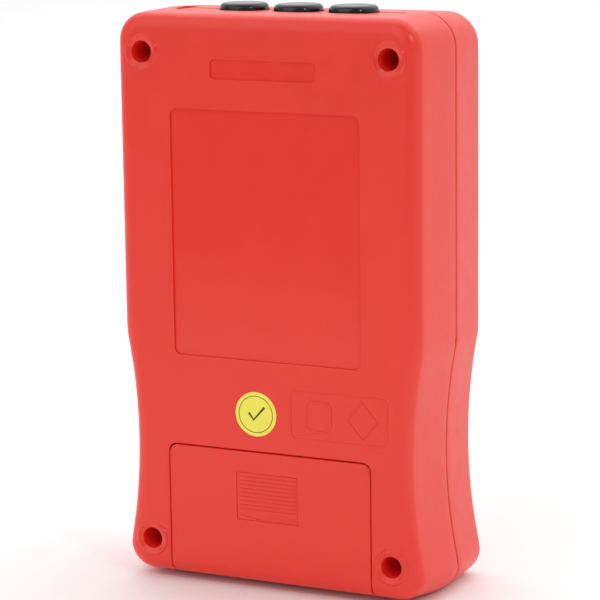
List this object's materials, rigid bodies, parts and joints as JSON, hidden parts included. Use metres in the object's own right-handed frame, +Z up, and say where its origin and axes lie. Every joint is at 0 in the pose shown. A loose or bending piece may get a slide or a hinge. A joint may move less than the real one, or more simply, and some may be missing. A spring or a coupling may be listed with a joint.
{
  "type": "component tester",
  "caption": "Red handheld component tester: two-shell waisted case, three black buttons on its top end, display, test socket with lever and a sliding battery door.",
  "frame": {"origin": "centre of the bounding box's bottom, on the surface that the case stands on", "axes": "+Z up the long way of the case, towards the buttons; the battery door faces +Y and the display faces -Y"},
  "size_m": [0.0844, 0.0385, 0.1443],
  "materials": {
    "red_shell": "semi-gloss",
    "black_plastic": "matte",
    "battery_jacket": "satin",
    "steel": "satin",
    "black_vinyl": "matte",
    "red_lead": "satin",
    "yellow_sticker": "satin",
    "board_green": "satin",
    "black_metal": "satin",
    "display_glass": "gloss",
    "clear_window": "gloss",
    "socket_plastic": "satin",
    "blue_can": "satin",
    "button_black": "gloss"
  },
  "bodies": {
    "case": {"battery": "battery_jacket", "battery_socket": "steel", "battery_stud": "steel", "battery_tray": "black_plastic", "board_screw_1": "steel", "board_screw_2": "steel", "board_screw_3": "steel", "board_screw_4": "steel", "capacitor_1": "blue_can", "capacitor_2": "blue_can", "case_screw_1": "steel", "case_screw_2": "steel", "case_screw_3": "steel", "case_screw_4": "steel", "crystal": "steel", "display_window": "clear_window", "front_shell": "red_shell", "lcd_board": "board_green", "lcd_frame": "black_metal", "lcd_glass": "display_glass", "lead_black": "black_vinyl", "lead_red": "red_lead", "main_board": "board_green", "microcontroller": "black_plastic", "rear_shell": "red_shell", "regulator": "black_plastic", "round_sticker": "yellow_sticker", "snap_connector": "black_vinyl", "socket_base": "socket_plastic", "switch_1": "black_plastic", "switch_2": "black_plastic", "switch_3": "black_plastic", "switch_board": "board_green"},
    "button_left": {"button_left": "button_black"},
    "button_middle": {"button_middle": "button_black"},
    "button_right": {"button_right": "button_black"},
    "door": {"battery_door": "red_shell"},
    "lever": {"socket_lever": "steel"}
  },
  "joints": [
    {"name": "press_left", "type": "slide", "parent": "case", "child": "button_left", "axis": [0, 0, -1], "range_m": [0, 0.0008], "stiffness_N_per_m": 1500},
    {"name": "press_middle", "type": "slide", "parent": "case", "child": "button_middle", "axis": [0, 0, -1], "range_m": [0, 0.0008], "stiffness_N_per_m": 1500},
    {"name": "press_right", "type": "slide", "parent": "case", "child": "button_right", "axis": [0, 0, -1], "range_m": [0, 0.0008], "stiffness_N_per_m": 1500},
    {"name": "door_slide", "type": "slide", "parent": "case", "child": "door", "axis": [0, 0, -1], "range_m": [0, 0.04]},
    {"name": "lever_turn", "type": "hinge", "parent": "case", "child": "lever", "pos_m": [-0.0165, -0.0164, 0.0549], "axis": [0, 0, -1], "range_deg": [0, 90]}
  ]
}
